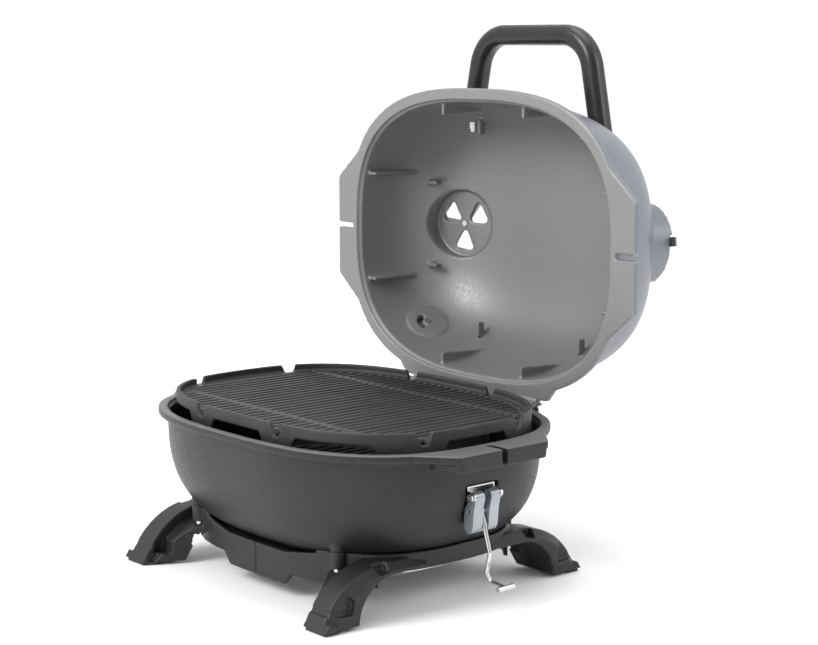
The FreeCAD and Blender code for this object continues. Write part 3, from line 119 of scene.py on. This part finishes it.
def textured_paint(name, dark, light, rough, grain=0.00012, metallic=0.0, edge=None):
    """Sprayed paint over a casting: fine grain, a slow drift of tone, and soft ripples of the casting."""
    material, tree, shader, place = new_material(name)
    drift = noise(tree, place, 9.0, 4.0, 0.6)
    fine = noise(tree, place, 1500.0, 2.0, 0.7)
    middle = noise(tree, place, 240.0, 4.0, 0.6)
    color = ramp(tree, drift, [(0.3, dark), (0.7, light)])
    speckle = ramp(tree, fine, [(0.35, 0.86), (0.65, 1.0)])
    color = mixed(tree, 0.55, color, mixed(tree, 1.0, color, speckle, "MULTIPLY"))
    if edge:
        color = wear(tree, color, edge)
    tree.links.new(color, shader.inputs["Base Color"])
    tree.links.new(ramp(tree, middle, [(0.3, rough - 0.07), (0.7, rough + 0.07)]), shader.inputs["Roughness"])
    shader.inputs["Metallic"].default_value = metallic
    ripple = noise(tree, place, 30.0)
    bump(tree, shader, [(fine, 0.5, grain), (middle, 0.3, grain * 2.5), (ripple, 0.25, 0.0006)])
    return material


def zoned_paint(name, dark, light, zone_tone_and_sheen, rough, grain, metallic, edge):
    """Textured paint with a second colour where the mesh's zone attribute is one: the lid's own inside tone,
    and on the bowl's black rim face a painted highlight.
    """
    material = textured_paint(name, dark, light, rough, grain, metallic, edge)
    tree = material.node_tree
    shader = tree.nodes["Principled BSDF"]
    first = shader.inputs["Base Color"].links[0].from_socket
    place = tree.nodes.new("ShaderNodeTexCoord").outputs["Object"]
    zone = tree.nodes.new("ShaderNodeAttribute")
    zone.attribute_name = "zone"
    darker = tuple(0.88 * c for c in zone_tone_and_sheen)
    # The zone's colour: the lid's own inside tone, and on the bowl's black rim face a painted highlight.
    skin = ramp(tree, noise(tree, place, 500.0, 3.0, 0.7), [(0.3, darker), (0.7, zone_tone_and_sheen)])
    tree.links.new(mixed(tree, zone.outputs["Fac"], first, skin), shader.inputs["Base Color"])
    return material


def cast_iron(name, dark, light):
    """Enamelled cast iron: pitted skin, dusty tops, darker hollows."""
    material, tree, shader, place = new_material(name)
    pits = tree.nodes.new("ShaderNodeTexVoronoi")
    pits.inputs["Scale"].default_value = 420.0
    tree.links.new(place, pits.inputs["Vector"])
    skin = noise(tree, place, 320.0, 5.0, 0.7)
    drift = noise(tree, place, 22.0, 4.0, 0.6)
    color = ramp(tree, drift, [(0.3, dark), (0.7, light)])
    speckle = ramp(tree, skin, [(0.3, 0.7), (0.7, 1.0)])
    color = mixed(tree, 0.5, color, mixed(tree, 1.0, color, speckle, "MULTIPLY"))
    color = wear(tree, color, tuple(1.5 * c for c in light), 0.55, 0.35)
    tree.links.new(color, shader.inputs["Base Color"])
    tree.links.new(ramp(tree, skin, [(0.3, 0.44), (0.7, 0.66)]), shader.inputs["Roughness"])
    swell = noise(tree, place, 60.0)
    pitting = pits.outputs["Distance"]
    bump(tree, shader, [(skin, 0.55, 0.00035), (pitting, 0.25, 0.0002), (swell, 0.4, 0.0006)])
    return material


def moulded_plastic(name, dark, light, rough, grain=0.00008):
    """Injection moulded plastic with an eroded-mould grain and faint flow marks."""
    material, tree, shader, place = new_material(name)
    grainy = tree.nodes.new("ShaderNodeTexVoronoi")
    grainy.inputs["Scale"].default_value = 1100.0
    tree.links.new(place, grainy.inputs["Vector"])
    flow = noise(tree, place, 14.0, 3.0, 0.5, (1.0, 0.4, 1.6))
    color = ramp(tree, flow, [(0.3, dark), (0.7, light)])
    color = wear(tree, color, tuple(1.9 * c for c in light), 0.555, 0.4)
    tree.links.new(color, shader.inputs["Base Color"])
    gloss = ramp(tree, noise(tree, place, 90.0), [(0.3, rough - 0.06), (0.7, rough + 0.06)])
    tree.links.new(gloss, shader.inputs["Roughness"])
    bump(tree, shader, [(grainy.outputs["Distance"], 0.35, grain), (noise(tree, place, 700.0), 0.3, grain)])
    return material


def metal(name, dark, light, rough, stretch=(1.0, 1.0, 30.0), scale=90.0, depth=0.00005):
    """Bare metal with fine drawn or brushed lines."""
    material, tree, shader, place = new_material(name)
    lines = noise(tree, place, scale, 5.0, 0.7, stretch)
    blotch = noise(tree, place, 45.0, 3.0, 0.5)
    tree.links.new(ramp(tree, blotch, [(0.3, dark), (0.7, light)]), shader.inputs["Base Color"])
    gloss = ramp(tree, lines, [(0.25, rough - 0.06), (0.75, rough + 0.08)])
    tree.links.new(gloss, shader.inputs["Roughness"])
    shader.inputs["Metallic"].default_value = 1.0
    bump(tree, shader, [(lines, 0.35, depth)])
    return material


bowl_paint = zoned_paint(
    "bowl_paint",
    dark=(0.0078, 0.0084, 0.0092),
    light=(0.0125, 0.0133, 0.0143),
    # painted highlight: the black rim's joint face is drawn in light grey
    zone_tone_and_sheen=(0.10, 0.101, 0.101),
    rough=0.44,
    grain=0.00012,
    metallic=0.0,
    edge=(0.06, 0.06, 0.062),
)
bowl_paint.node_tree.nodes["Principled BSDF"].inputs["Specular IOR Level"].default_value = 0.38
lid_paint = zoned_paint(
    "lid_paint",
    dark=(0.165, 0.173, 0.196),
    light=(0.205, 0.214, 0.242),
    zone_tone_and_sheen=(0.215, 0.216, 0.213),
    rough=0.42,
    grain=0.00010,
    metallic=0.30,
    edge=(0.42, 0.43, 0.45),
)
grate_iron = cast_iron("grate_iron", (0.012, 0.0124, 0.0128), (0.022, 0.0225, 0.023))
tray_steel = cast_iron("tray_steel", (0.02, 0.02, 0.02), (0.033, 0.033, 0.033))
stand_plastic = moulded_plastic("stand_plastic", (0.011, 0.0116, 0.0124), (0.017, 0.0177, 0.0187), 0.46)
stand_plastic.node_tree.nodes["Principled BSDF"].inputs["Specular IOR Level"].default_value = 0.36
handle_plastic = moulded_plastic(
    "handle_plastic", (0.004, 0.0042, 0.0045), (0.007, 0.0073, 0.0078), 0.30, 0.00005
)
pad_rubber = moulded_plastic("pad_rubber", (0.014, 0.014, 0.014), (0.022, 0.022, 0.022), 0.75)
stainless = metal("stainless", (0.55, 0.55, 0.56), (0.68, 0.68, 0.69), 0.28)
shield_steel = metal("shield_steel", (0.52, 0.53, 0.54), (0.66, 0.67, 0.68), 0.34, (30.0, 1.0, 1.0))
damper_steel = metal("damper_steel", (0.27, 0.275, 0.285), (0.35, 0.355, 0.365), 0.42, (1.0, 1.0, 12.0))
lever_metal = textured_paint(
    "lever_metal", (0.30, 0.325, 0.35), (0.38, 0.405, 0.43), 0.34, 0.00005, 0.55, (0.55, 0.57, 0.6)
)
chrome = metal("chrome", (0.56, 0.56, 0.57), (0.68, 0.68, 0.69), 0.15, (1.0, 1.0, 8.0), 140.0, 0.00002)

finish_of_slot = {
    "black_cast": bowl_paint,
    "grey_cast": lid_paint,
    "cast_iron": grate_iron,
    "black_steel": tray_steel,
    "black_plastic": stand_plastic,
    "handle_plastic": handle_plastic,
    "rubber": pad_rubber,
    "stainless": stainless,
    "shield_steel": shield_steel,
    "damper_steel": damper_steel,
    "grey_casting": lever_metal,
    "chrome": chrome,
}
slot_of_node = {s["node"]: s["material_slot"] for s in frame["record"]["subparts"]}


def paint(obj, material):
    obj.data.materials.clear()
    obj.data.materials.append(material)


for node_name, node in nodes.items():
    paint(node, finish_of_slot[slot_of_node[node_name]])


# ------------------------------------------------------------------ castings and mouldings

body_of_node = {n: b for b, members in frame["record"]["behaviour"]["bodies"].items() for n in members}


joint_places = {j["name"]: j.get("pos_m") for j in frame["record"]["behaviour"]["joints"]}
hinge = Vector(joint_places["lid_hinge"])
hinge_drop = 0.004            # hinge axis below the joint face
joint_height = hinge.z + hinge_drop
outline_power = 2.75          # of the dome's plan
dome_power = 3.0              # of its rise
dome_middle = Vector((0.2378, 0.1782, 0.1563))    # half sizes at mid-wall
rim_depth = 0.012
flange_share = 1.045          # the flange's inner edge lies this far outside the dome's plan


def bowl_rim_painted_sheen(place, normal):
    """One on the flat joint face of the bowl's rim, where a painted highlight in light grey goes on the black
    paint.
    """
    return 1.0 if place.z > joint_height - 0.0025 and normal.z > 0.5 else 0.0


def lid_zone(place, normal):
    """One on the inside and on the joint face of the open lid."""
    closed = Vector((place.x, hinge.y + hinge.z - place.z, hinge.z + place.y - hinge.y - joint_height))
    turned = Vector((normal.x, -normal.z, normal.y))
    across = (abs(closed.x) / dome_middle.x) ** outline_power
    across += (abs(closed.y) / dome_middle.y) ** outline_power
    dome = across ** (dome_power / outline_power) + (max(closed.z, 0.0) / dome_middle.z) ** dome_power
    inward = Vector((0.0, 0.0, 0.03)) - closed
    facing = turned.dot(inward.normalized())
    on_joint = closed.z < 0.0015 and turned.z < -0.4
    in_flange = closed.z < rim_depth and across < flange_share
    in_housing = closed.z > rim_depth and facing > 0.25
    return 1.0 if dome < 1.0 or on_joint or in_flange or in_housing else 0.0


def cast_piece(node_name, voxel, rounds, faces, zone_of=None):
    """The CAD node as a casting: its edges and inner corners rounded over."""
    source = nodes[node_name]
    piece = bpy.data.objects.new(node_name + "_casting", source.data.copy())
    bpy.context.scene.collection.objects.link(piece)
    remesh = piece.modifiers.new("remesh", "REMESH")
    remesh.mode = "VOXEL"
    remesh.voxel_size = voxel * 1
    remesh.use_smooth_shade = True
    smooth = piece.modifiers.new("round", "SMOOTH")
    smooth.factor = 0.5
    smooth.iterations = rounds
    made = bpy.data.meshes.new_from_object(piece.evaluated_get(bpy.context.evaluated_depsgraph_get()))
    if len(made.polygons) * 2 > faces:
        piece.modifiers.clear()
        piece.data = made
        thin = piece.modifiers.new("thin", "DECIMATE")
        thin.ratio = faces / (len(made.polygons) * 2)
        made = bpy.data.meshes.new_from_object(piece.evaluated_get(bpy.context.evaluated_depsgraph_get()))
    piece.modifiers.clear()
    piece.data = made
    made.name = piece.name
    for polygon in made.polygons:
        polygon.use_smooth = True
    if zone_of:
        zone = made.attributes.new("zone", "FLOAT", "POINT")
        values = [zone_of(vertex.co, vertex.normal) for vertex in made.vertices]
        zone.data.foreach_set("value", values)
    slot_name = slot_of_node[node_name]
    paint(piece, finish_of_slot[slot_name])
    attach(piece, body_of_node[node_name])
    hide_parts(node_name)
    return piece


cast_piece("base_bowl", 0.0016, 6, 190000, bowl_rim_painted_sheen)
cast_piece("lid_shell", 0.0016, 6, 190000, lid_zone)
cast_piece("cooking_grate", 0.0012, 5, 190000)
for side in ("left", "right"):
    cast_piece("stand_" + side, 0.0012, 5, 150000)
    cast_piece("latch_lever_" + side, 0.0005, 5, 60000)
cast_piece("lid_handle", 0.0011, 5, 90000)


# ------------------------------------------------------------------ floor, light and camera

def flat_material(name, color, rough):
    material, tree, shader, place = new_material(name)
    tone = ramp(tree, noise(tree, place, 3.0), [(0.3, tuple(0.985 * c for c in color)), (0.7, color)])
    tree.links.new(tone, shader.inputs["Base Color"])
    shader.inputs["Roughness"].default_value = rough
    return material


floor_mesh = bpy.data.meshes.new("floor")
reach = 30.0
floor_level = -0.0005
corners = [(x * reach, y * reach, floor_level) for x, y in ((-1, -1), (1, -1), (1, 1), (-1, 1))]
floor_mesh.from_pydata(corners, [], [(0, 1, 2, 3)])
floor = bpy.data.objects.new("floor", floor_mesh)
bpy.context.scene.collection.objects.link(floor)
paint(floor, flat_material("floor_paint", (0.955, 0.955, 0.955), 0.7))

world = bpy.data.worlds.new("studio")
bpy.context.scene.world = world
world.use_nodes = True
sky = world.node_tree
side_of_sky = sky.nodes.new("ShaderNodeVectorMath")
side_of_sky.operation = "DOT_PRODUCT"
side_of_sky.inputs[1].default_value = (0.95, -0.3, -0.1)
sky.links.new(sky.nodes.new("ShaderNodeTexCoord").outputs["Generated"], side_of_sky.inputs[0])
shade = ramp(sky, side_of_sky.outputs["Value"], [(0.3, 1.0), (0.85, 0.45)])
sky.links.new(shade, sky.nodes["Background"].inputs["Color"])
world.node_tree.nodes["Background"].inputs["Strength"].default_value = 1.18
bpy.context.scene.view_settings.view_transform = "Standard"


def soft_light(name, place, target, size, power):
    light = bpy.data.lights.new(name, "AREA")
    light.shape = "SQUARE"
    light.size = size
    light.energy = power
    lamp = bpy.data.objects.new(name, light)
    bpy.context.scene.collection.objects.link(lamp)
    lamp.location = place
    lamp.rotation_euler = (Vector(target) - Vector(place)).to_track_quat("-Z", "Y").to_euler()


soft_light("key", (-0.5, -2.7, 2.2), (0, 0.1, 0.25), 1.5, 78)
soft_light("side", (2.4, 1.6, 1.8), (0, 0.2, 0.3), 1.4, 22)
soft_light("top", (0.0, 0.3, 2.8), (0, 0.1, 0.2), 1.8, 30)

camera_data = bpy.data.cameras.new("camera")
camera_data.lens = 80.54
camera_data.sensor_width = 36.0
camera = bpy.data.objects.new("camera", camera_data)
bpy.context.scene.collection.objects.link(camera)
right = Vector((0.65167, 0.75850, 0.0))
up = Vector((-0.11502, 0.09882, 0.98844))
back = Vector((0.74973, -0.64413, 0.15164))
camera_turn = Matrix((right, up, back)).transposed().to_4x4()
camera.matrix_world = Matrix.Translation((1.7310, -1.3908, 0.6472)) @ camera_turn
bpy.context.scene.camera = camera
